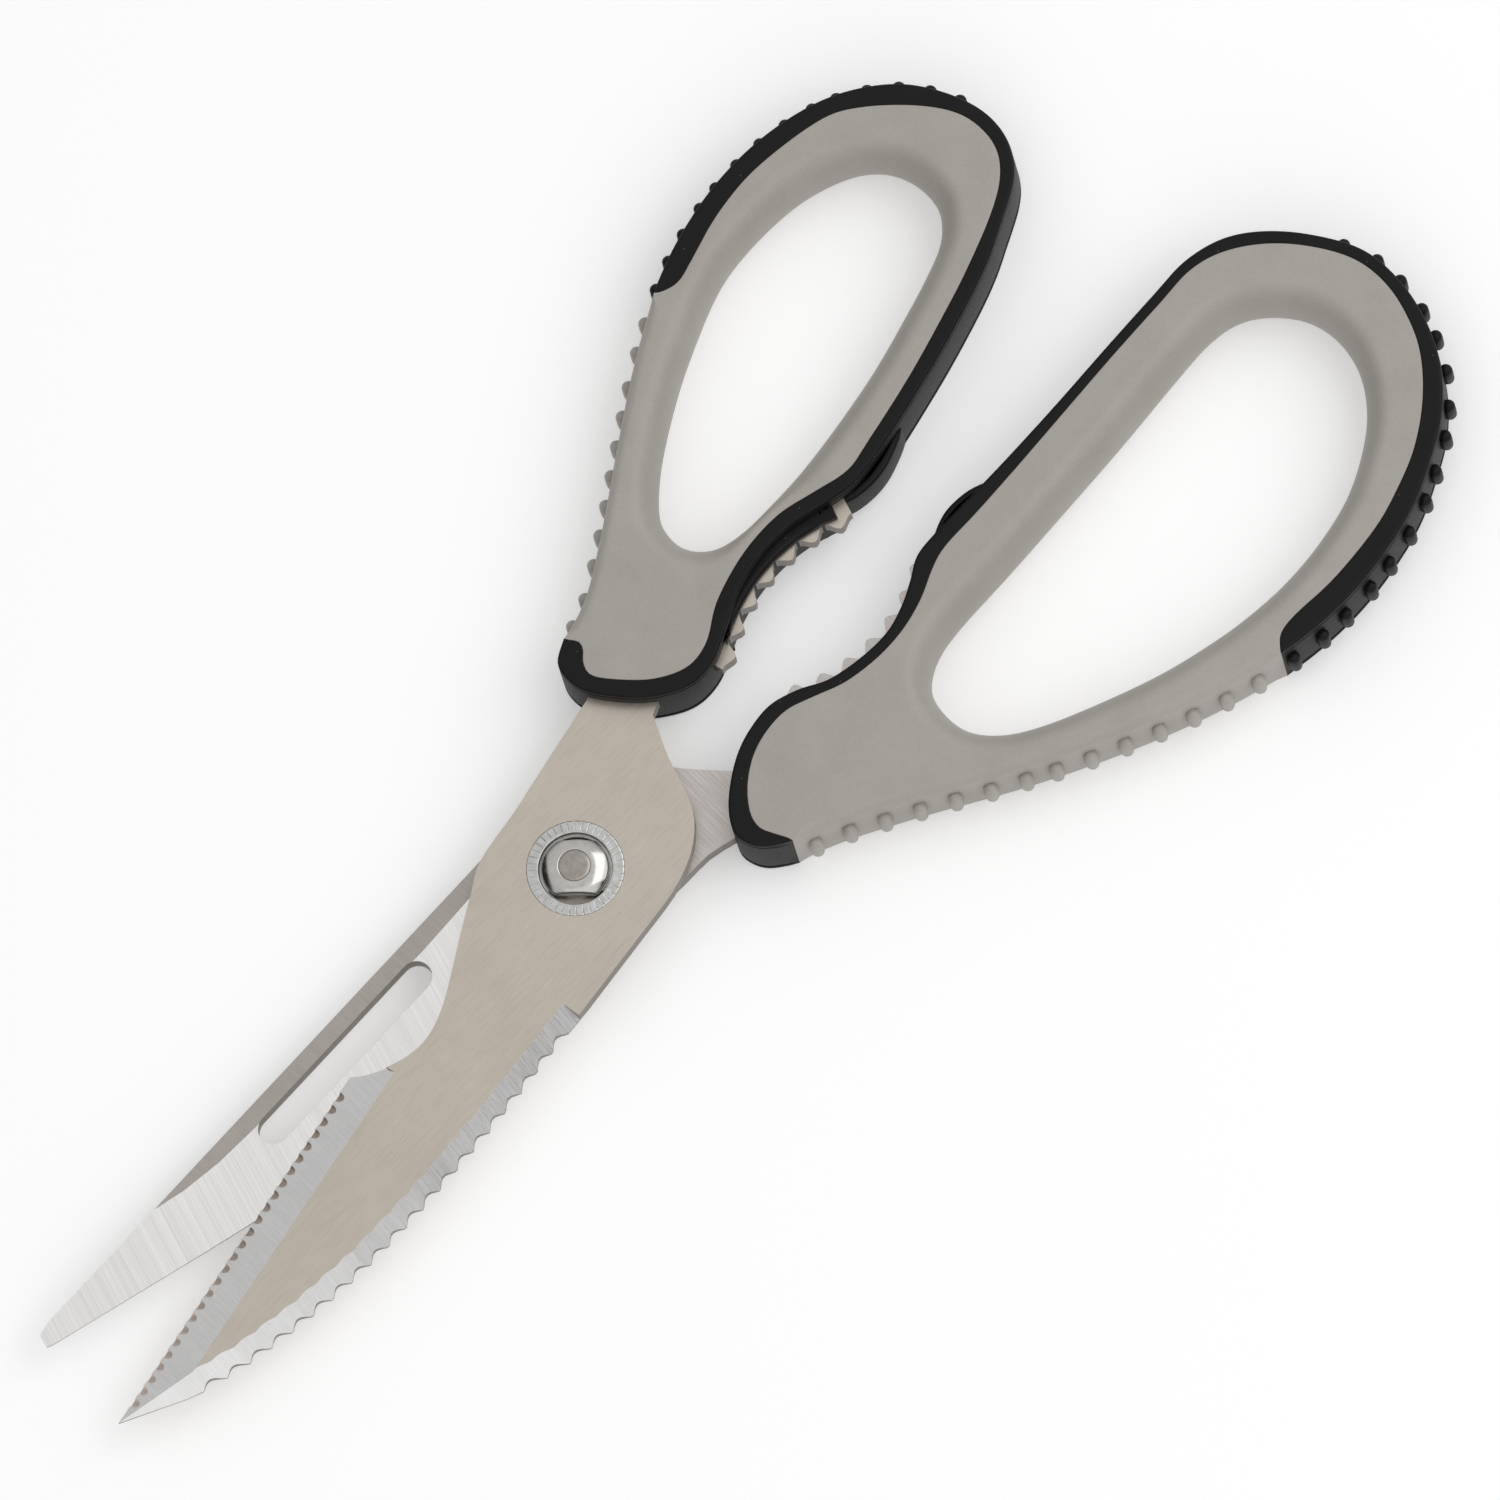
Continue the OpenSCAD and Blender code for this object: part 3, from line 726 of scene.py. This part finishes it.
    def build_grip(self) -> bpy.types.Object:
        """Build the soft rim."""
        bm = bmesh.new()
        free = self.free_share(self.grip, self.core)
        for ring in self.wall(bm, self.grip, free, self.grip_stations):
            fill(bm, ring)
        bmesh.ops.recalc_face_normals(bm, faces=bm.faces)
        self.build_bumpers(bm)
        bmesh.ops.recalc_face_normals(bm, faces=bm.faces)
        self.add_nubs(bm, self.grip_node, self.grip)
        return publish(bm, self.grip_node, self.body, [self.grip_finish], recalculate=False)


# ---------------------------------------------------------------------------------------------- blades


class Ground(Enum):
    """The kinds of face on a blade, in the order of its finishes."""

    FLAT = 0
    HOLLOW = 1
    BEVEL = 2
    WALL = 3
    TANG = 4


@dataclass
class Blade:
    """A ground blade with its tang."""

    node: str
    body: Body
    finishes: Sequence[bpy.types.Material]
    half_turn: float
    waves: int = 0
    wave_from: float = -86.6 * MM
    wave_to: float = -18.0 * MM
    wave_depth: float = 0.28 * MM
    gullets: int = 0
    cutting_edge: tuple[Vector, Vector] = (Vector((-6, -40.8)) * MM, Vector((0, -97)) * MM)
    edge_z: float = 5.95 * MM
    bevel_rise: float = 2.1 / 5.2
    land_edge: Sequence[Vector] = ()
    tang_from: Vector = Vector((0, -1)) * MM

    def kind(self, face: bmesh.types.BMFace) -> Ground:
        """How a face was made, by the way that it faces."""
        up = abs(face.normal.z)
        if up < 0.3:
            return Ground.WALL
        if up < 0.99:
            return Ground.BEVEL
        return Ground.HOLLOW if up < 0.99999 else Ground.FLAT

    def along(self, spot: Vector) -> Vector:
        """A place in the half's own axes, with the pivot at the origin and the blade towards -Y."""
        return Matrix.Rotation(-self.half_turn, 2) @ (spot.xy - PIVOT)

    def wave_bevel(self, bm: bmesh.types.BMesh) -> None:
        """Carry the scallops across the bevel behind them, as a round wheel grinds them."""
        line = [e for e in bm.edges if len(e.link_faces) == 2
                and {self.kind(f) for f in e.link_faces} == {Ground.FLAT, Ground.BEVEL}
                and all(self.along(v.co).x > 2 * MM and self.along(v.co).y < self.wave_to + 1 * MM for v in e.verts)]
        for edge in line:
            cuts = int(edge.calc_length() / (0.45 * MM))
            if cuts:
                bmesh.ops.subdivide_edges(bm, edges=[edge], cuts=cuts)
        for v in bm.verts:
            place = self.along(v.co)
            kinds = {self.kind(f) for f in v.link_faces}
            if kinds != {Ground.FLAT, Ground.BEVEL} or place.x < 2 * MM or not self.wave_from < place.y < self.wave_to:
                continue
            u = (place.y - self.wave_from) / (self.wave_to - self.wave_from) * self.waves
            dip = math.sin(math.pi * (u - math.floor(u))) ** 1.3 - 0.5
            way = Matrix.Rotation(self.half_turn, 2) @ Vector((-1, 0))
            v.co.xy = v.co.xy + way * self.wave_depth * dip

    def open_gullets(self, bm: bmesh.types.BMesh) -> None:
        """Slope the walls of the gullets back into the bevel, as a wheel leaves them."""
        heel, tip = self.cutting_edge
        line = tip - heel
        side = Vector((-line.y, line.x)).normalized()
        turn = Matrix.Rotation(self.half_turn, 2)
        places = [heel + line * (0.055 + 0.92 * k / self.gullets) for k in range(self.gullets)]
        moved = set()
        for v in bm.verts:
            spot = self.along(v.co)
            near = min(places, key=lambda place: (place - spot).length)
            if (near - spot).length > 0.7 * MM:
                continue
            moved.add(v)
            off, way = spot - near, line.normalized()
            if v.co.z < self.edge_z - 0.05 * MM:
                spot = near + way * off.dot(way) + side * off.dot(side) * 0.12
            else:
                spot = near + way * off.dot(way) * 1.4 + side * off.dot(side) * 2.2
                v.co.z = self.edge_z + max(0.0, (spot - heel).dot(side)) * self.bevel_rise
            v.co.xy = PIVOT + turn @ spot
        # The gullet faces take the blade's second material, which on the front blade is lightened with painted light.
        for f in bm.faces:
            if all(v in moved for v in f.verts):
                f.material_index = Ground.HOLLOW.value

    def split_land(self, bm: bmesh.types.BMesh) -> None:
        """Cut the inner face along the edge of the hollow grind, and give the land beside it its own kind."""
        turn = Matrix.Rotation(self.half_turn, 2)

        def cut(low: float, high: float, spot: Vector, normal: Vector) -> None:
            """Cut the upper faces between two places along the blade with a plane."""
            faces = [f for f in bm.faces if f.normal.z > 0.99 and low < self.along(f.calc_center_median()).y < high]
            parts = {*faces, *(e for f in faces for e in f.edges), *(v for f in faces for v in f.verts)}
            spot, normal = PIVOT + turn @ spot, turn @ normal
            bmesh.ops.bisect_plane(bm, geom=list(parts), dist=1e-7, plane_co=(*spot, 0), plane_no=(*normal, 0))

        for spot in (self.tang_from, *self.land_edge):
            cut(-1, 1, spot, Vector((0, 1)))
        for a, b in zip(self.land_edge, self.land_edge[1:]):
            cut(b.y, a.y, a, (b - a).orthogonal().normalized())
        for f in bm.faces:
            if f.normal.z < 0.99:
                continue
            spot = self.along(f.calc_center_median())
            band = next(((a, b) for a, b in zip(self.land_edge, self.land_edge[1:]) if b.y < spot.y < a.y), None)
            on_land = band and spot.x < band[0].lerp(band[1], (band[0].y - spot.y) / (band[0].y - band[1].y)).x
            ground = Ground.TANG if spot.y > self.tang_from.y else Ground.FLAT if on_land else Ground.HOLLOW
            f.material_index = ground.value

    def build(self) -> bpy.types.Object:
        """Build the blade: its flat, its ground faces and its cut walls each have their own finish; the bevel, hollow
        and gullet finishes carry painted highlight and the cut walls' finish carries painted shade.
        """
        bm = clean_copy(self.node)
        bmesh.ops.dissolve_limit(bm, angle_limit=math.radians(0.2), verts=bm.verts, edges=bm.edges,
                                 use_dissolve_boundaries=False, delimit=set())
        if self.waves:
            self.wave_bevel(bm)
        for f in bm.faces:
            f.normal_update()
            f.material_index = self.kind(f).value
        if self.gullets:
            self.open_gullets(bm)
        if self.land_edge:
            self.split_land(bm)
        return publish(bm, self.node, self.body, self.finishes, turn=math.radians(14), recalculate=False)


# ---------------------------------------------------------------------------------------------- pivot


def spun(profile: Sequence[tuple[float, float]], steps: int, closed: bool) -> bmesh.types.BMesh:
    """Turn a profile about the pivot axis.

    Args:
        profile: pairs of radius and height in millimetres; an open one starts and ends on the axis.
        steps: divisions of the full turn.
        closed: whether the last point joins the first.

    Returns:
        A mesh with the pivot axis at the origin.
    """
    bm = bmesh.new()
    spots = [bm.verts.new((r * MM, 0, z * MM)) for r, z in profile]
    pairs = list(zip(spots, spots[1:])) + ([(spots[-1], spots[0])] if closed else [])
    line = [bm.edges.new(pair) for pair in pairs]
    bmesh.ops.spin(bm, geom=[*spots, *line], cent=(0, 0, 0), axis=(0, 0, 1), dvec=(0, 0, 0), angle=math.tau,
                   steps=steps, use_merge=True, use_duplicate=False)
    bmesh.ops.remove_doubles(bm, verts=bm.verts, dist=1e-7)
    return bm


@dataclass
class Pivot:
    """The take-apart pivot: a bush in the front blade, and a sleeve and button riveted to the back blade."""

    pressed: bpy.types.Material
    polished: bpy.types.Material
    turned: bpy.types.Material
    flat_turn: float = math.radians(43)
    key_turn: float = math.radians(-47)
    flats: float = 3.6 * MM
    key_flats: float = 3.7 * MM
    marks: int = 40
    mark_depth: float = 0.07 * MM

    def cut_flats(self, bm: bmesh.types.BMesh, turn: float, half: float) -> None:
        """Cut two parallel flats on a turned shape."""
        for way in (1, -1):
            normal = Vector((-math.sin(turn), math.cos(turn), 0)) * way
            cut = bmesh.ops.bisect_plane(bm, geom=[*bm.verts, *bm.edges, *bm.faces], dist=1e-7, plane_co=normal * half,
                                         plane_no=normal, clear_outer=True)["geom_cut"]
            rim = [g for g in cut if isinstance(g, bmesh.types.BMEdge)]
            bmesh.ops.triangle_fill(bm, use_beauty=True, use_dissolve=True, edges=rim)

    def finish(self, bm: bmesh.types.BMesh, name: str, body: Body, finish: bpy.types.Material) -> bpy.types.Object:
        """Move a pivot piece to the pivot axis and publish it."""
        bmesh.ops.translate(bm, verts=bm.verts, vec=(PIVOT.x, PIVOT.y, 0))
        return publish(bm, name, body, [finish], turn=math.radians(38))

    def build_bush(self) -> None:
        """Build the bush: its raised rim with pressed radial marks, and the keyhole plate under the recess."""
        rim = [(4.76, 5.55), (6.5, 5.55), (6.63, 5.68), (6.63, 7.95), (6.58, 8.04), (6.46, 8.08), (6.36, 8.09),
               (5.42, 8.09), (5.34, 8.1), (5.12, 8.1), (5.03, 8.07), (4.98, 8.0), (4.95, 7.9), (4.95, 7.0), (4.76, 7.0)]
        bm = spun(rim, self.marks * 12, True)
        for v in bm.verts:
            share = (math.atan2(v.co.y, v.co.x) / math.tau * self.marks) % 1.0
            if min(share, 1 - share) < 0.02 and v.co.z > 8.0 * MM and 5.4 * MM < v.co.xy.length < 6.5 * MM:
                v.co.z -= self.mark_depth
        plate = bmesh.new()
        key = [Vector((math.cos(a), math.sin(a))) * 4.72 * MM for a in (math.tau * k / 120 for k in range(120))]
        turn = Matrix.Rotation(self.key_turn, 2)
        key = [turn @ Vector((p.x, max(-self.key_flats, min(self.key_flats, p.y)))) for p in key]
        hole, outer = Outline(key), Outline([p * (4.8 / 4.72) for p in (Vector((math.cos(a), math.sin(a))) * 4.72 * MM
                                             for a in (math.tau * k / 120 for k in range(120)))])
        top_hole, top_rim = lay_ring(plate, hole, 6.99 * MM), lay_ring(plate, outer, 6.99 * MM)
        wall = [Station(0, 6.3 * MM, 0, 6.3 * MM)]
        free = [1.0] * 120
        low_hole, low_rim = sweep(plate, top_hole, hole, free, wall), sweep(plate, top_rim, outer, free, wall)
        fill(plate, top_hole, top_rim)
        fill(plate, low_hole, low_rim)
        joined = bpy.data.meshes.new("keyhole_plate")
        for layer in list(plate.verts.layers.int):
            plate.verts.layers.int.remove(layer)
        plate.to_mesh(joined)
        plate.free()
        bm.from_mesh(joined)
        bpy.data.meshes.remove(joined)
        self.finish(bm, "pivot_bush", Body.THUMB, self.pressed)

    def build_button(self) -> None:
        """Build the button: a polished dome with two flats and a seat for the rivet's end."""
        dome = [(0, 9.38), (2.2, 9.38), (2.22, 9.6), (2.3, 9.64), (2.45, 9.63)]
        dome += [(2.2 + 3.51 * math.sin(t), 6.12 + 3.51 * math.cos(t)) for t in (math.radians(3 * k) for k in range(2, 15))]
        dome += [(4.6, 8.66), (4.62, 8.56), (4.62, 7.2), (4.52, 7.1), (0, 7.1)]
        bm = spun(dome, 144, False)
        self.cut_flats(bm, self.flat_turn, self.flats)
        edges = [e for e in bm.edges if len(e.link_faces) == 2 and e.calc_face_angle(0) > math.radians(35)
                 and any(abs(f.normal.z) < 0.05 for f in e.link_faces) and e.verts[0].co.xy.length > 3.5 * MM]
        bmesh.ops.bevel(bm, geom=edges, offset=0.12 * MM, offset_type="OFFSET", segments=2, profile=0.5,
                        affect="EDGES", clamp_overlap=True, material=-1)
        self.finish(bm, "pivot_button", Body.FINGER, self.polished)

    def build(self) -> None:
        """Build the pivot's four pieces."""
        self.build_bush()
        self.build_button()
        sleeve = [(2.02, 5.45), (4.7, 5.45), (4.7, 6.15), (4.6, 6.25), (3.6, 6.25), (3.6, 7.1), (2.02, 7.1)]
        self.finish(spun(sleeve, 96, True), "pivot_sleeve", Body.FINGER, self.turned)
        rivet = [(0, 9.65), (1.6, 9.65), (1.95, 9.62), (2.12, 9.55), (2.17, 9.45), (2.17, 9.37), (2.0, 9.35),
                 (2.0, 2.95), (4.85, 2.95), (5.0, 2.8), (4.6, 2.0), (4.4, 1.8), (4.2, 1.75), (0, 1.75)]
        self.finish(spun(rivet, 96, False), "pivot_rivet", Body.FINGER, self.turned)


# ---------------------------------------------------------------------------------------------- studio


@dataclass
class Studio:
    """A plain pale floor, soft light and a long-lens camera."""

    lens_mm: float = 1200.0
    sensor_mm: float = 36.0
    width: float = 201 * MM
    tilt: float = math.radians(17)
    tilt_way: float = math.radians(-28.9)
    image_turn: float = math.radians(18)
    centre_right: float = 23.4 * MM
    centre_up: float = 15.85 * MM
    flag_way: tuple[float, float, float] = (math.cos(math.radians(44)), math.sin(math.radians(44)), 0.0)

    def camera(self) -> None:
        """Set the camera up, tilted away from straight above the pivot."""
        lean = Vector((math.cos(self.tilt_way), math.sin(self.tilt_way), 0))
        side = Vector((-lean.y, lean.x, 0))
        up = Vector((0, 0, 1))
        back = lean * math.sin(self.tilt) + up * math.cos(self.tilt)
        rise = up * math.sin(self.tilt) - lean * math.cos(self.tilt)
        right = side * math.cos(self.image_turn) - rise * math.sin(self.image_turn)
        top = side * math.sin(self.image_turn) + rise * math.cos(self.image_turn)
        plane_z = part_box("pivot_bush")[1].z
        look = Vector((PIVOT.x, PIVOT.y, plane_z)) + right * self.centre_right + top * self.centre_up
        place = look + back * (self.width * self.lens_mm / self.sensor_mm)
        data = bpy.data.cameras.new("studio_camera")
        data.lens = self.lens_mm
        data.sensor_width = self.sensor_mm
        data.clip_end = 20
        camera = bpy.data.objects.new("studio_camera", data)
        axes = Matrix((right, top, back)).transposed()
        camera.matrix_world = Matrix.Translation(place) @ axes.to_4x4()
        bpy.context.scene.collection.objects.link(camera)
        bpy.context.scene.camera = camera

    def lights(self) -> None:
        """Add a white surround with a dark flag on either side, and the soft boxes."""
        world = bpy.data.worlds.new("white_surround")
        world.use_nodes = True
        tree = world.node_tree
        way = add_node(tree, "TexCoord", {}, {}).outputs["Generated"]
        height = add_node(tree, "SeparateXYZ", {}, {0: way}).outputs["Z"]
        sky = add_ramp(tree, height, [(0.0, "#6e6e6e"), (0.16, "#8c8c8c"), (0.4, "#ececec"), (1.0, "#ffffff")])
        across = add_node(tree, "VectorMath", {"operation": "DOT_PRODUCT", 1: self.flag_way}, {0: way}).outputs["Value"]
        aside = add_node(tree, "Math", {"operation": "ABSOLUTE"}, {0: across}).outputs[0]
        flags = add_ramp(tree, aside, [(0.76, "#ffffff"), (0.84, "#4a4643"), (1.0, "#2c2a28")])
        both = add_node(tree, "Mix", {"data_type": "RGBA", "blend_type": "MULTIPLY", "Factor": 1.0},
                        {6: sky.outputs[0], 7: flags.outputs[0]})
        tree.links.new(both.outputs[2], tree.nodes["Background"].inputs["Color"])
        tree.nodes["Background"].inputs["Strength"].default_value = 0.76
        bpy.context.scene.world = world
        for name, place, size, power in (("key", (0.5, 0.85, 0.95), 1.4, 7.0), ("fill", (0.7, -0.4, 0.75), 1.3, 1.3),
                                         ("low", (0.75, -0.45, 0.22), 0.5, 0.22)):
            data = bpy.data.lights.new(name, "AREA")
            data.size = size
            data.energy = power
            lamp = bpy.data.objects.new(name, data)
            lamp.location = place
            lamp.rotation_euler = (-Vector(place)).to_track_quat("-Z", "Y").to_euler()
            bpy.context.scene.collection.objects.link(lamp)

    def floor(self) -> None:
        """Lay the pale floor that the shears rest on."""
        bm = bmesh.new()
        bmesh.ops.create_grid(bm, x_segments=1, y_segments=1, size=3.0)
        mesh = bpy.data.meshes.new("floor")
        bm.to_mesh(mesh)
        bm.free()
        made = bpy.data.materials.new("backlit_white_acrylic")
        made.use_nodes = True
        shader = made.node_tree.nodes["Principled BSDF"]
        shader.inputs["Base Color"].default_value = srgb("#e6e6e6")
        shader.inputs["Emission Color"].default_value = srgb("#ffffff")
        shader.inputs["Emission Strength"].default_value = 0.3
        shader.inputs["Roughness"].default_value = 0.9
        shader.inputs["Specular IOR Level"].default_value = 0.1
        mesh.materials.append(made)
        floor = bpy.data.objects.new("floor", mesh)
        bpy.context.scene.collection.objects.link(floor)


def main() -> None:
    """Build the shears and the studio, and report each piece."""
    logging.basicConfig(level=logging.INFO, format="%(name)s %(message)s")
    bpy.context.scene.view_settings.view_transform = "Standard"
    flat = GrainedSteel("satin_ground_stainless_flat", light="#d3cabe", dark="#c4bbaf", line_mm=0.12, run_mm=3.5,
                        roughness=0.36, depth_mm=0.003).build()
    # The bevel's near-white colour, lighter than the flat, is painted highlight for the light its tilted faces reflect.
    bevel = GrainedSteel("wheel_ground_stainless_bevel_painted_highlight", light="#efeeee", dark="#dad9d8", turn=math.radians(95),
                         line_mm=0.2, run_mm=5, roughness=0.3, depth_mm=0.004).build()
    # The hollow grind's near-white colour is painted highlight: it stands in for the brighter light that the curved
    # grind reflects.
    hollow = GrainedSteel("hollow_ground_stainless_painted_highlight", light="#fffefc", dark="#efedeb", turn=math.radians(109),
                          line_mm=0.3, run_mm=60, roughness=0.24, depth_mm=0.004, cloud=0.15).build()
    land = GrainedSteel("flat_ground_stainless_land", light="#b9b3ad", dark="#a9a39d", turn=math.radians(85),
                        line_mm=0.18, run_mm=5, depth_mm=0.003).build()
    # The gullets' light warm colour is painted light: it brightens the recessed gullet walls that would otherwise fall
    # dark.
    gullet = GrainedSteel("wheel_ground_stainless_gullet_painted_light", light="#e2d3c8", dark="#c4b4a8", turn=math.radians(95),
                          line_mm=0.15, run_mm=3, roughness=0.45, depth_mm=0.003).build()
    tang = GrainedSteel("belt_ground_stainless_tang", light="#dcd7d3", dark="#b4aea9", turn=math.radians(92),
                        line_mm=0.16, run_mm=6, depth_mm=0.004).build()
    # The cut walls' dark colour is painted shade: the side walls are darkened for the light they turn away from.
    edge = GrainedSteel("blanked_stainless_edge_painted_shade", light="#8f8982", dark="#7c766f", roughness=0.42,
                        depth_mm=0.004).build()
    grey = MouldedPlastic("moulded_grey_abs").build()
    black = MouldedPlastic("moulded_black_tpe", light="#151414", dark="#0e0d0d", roughness=0.5, grain_mm=0.3,
                           depth_mm=0.02, specks="#4a4847", specular=0.2).build()
    polished = PolishedSteel("polished_stainless").build()
    turned = PolishedSteel("turned_stainless", colour="#b4aea8", worn="#a09a94", roughness=0.3).build()
    ring = PolishedSteel("pressed_stainless_ring", colour="#d4d7d7", roughness=0.28).build()
    turn = math.radians(4.5)
    land_edge = [Vector(p) * MM for p in ((-9.4, -2), (-7.4, -12.5), (-6.2, -22), (-4.2, -45), (-3.2, -55), (-2.9, -62),
                                          (-3.2, -68), (-4, -73))]
    Blade("front_blade", Body.THUMB, [flat, gullet, bevel, edge], turn, waves=20, gullets=26).build()
    Blade("back_blade", Body.FINGER, [land, hollow, bevel, edge, tang], -turn, land_edge=land_edge).build()
    for core, grip, body, pocket_at in (("thumb_handle", "thumb_grip", Body.THUMB, 4.5 * MM),
                                        ("finger_handle", "finger_grip", Body.FINGER, 6.5 * MM)):
        handle = Handle(core, grip, body, grey, black, pocket_at)
        handle.build_core()
        handle.build_grip()
    Pivot(ring, polished, turned).build()
    studio = Studio()
    studio.camera()
    studio.lights()
    studio.floor()


if __name__ == "__main__":
    main()
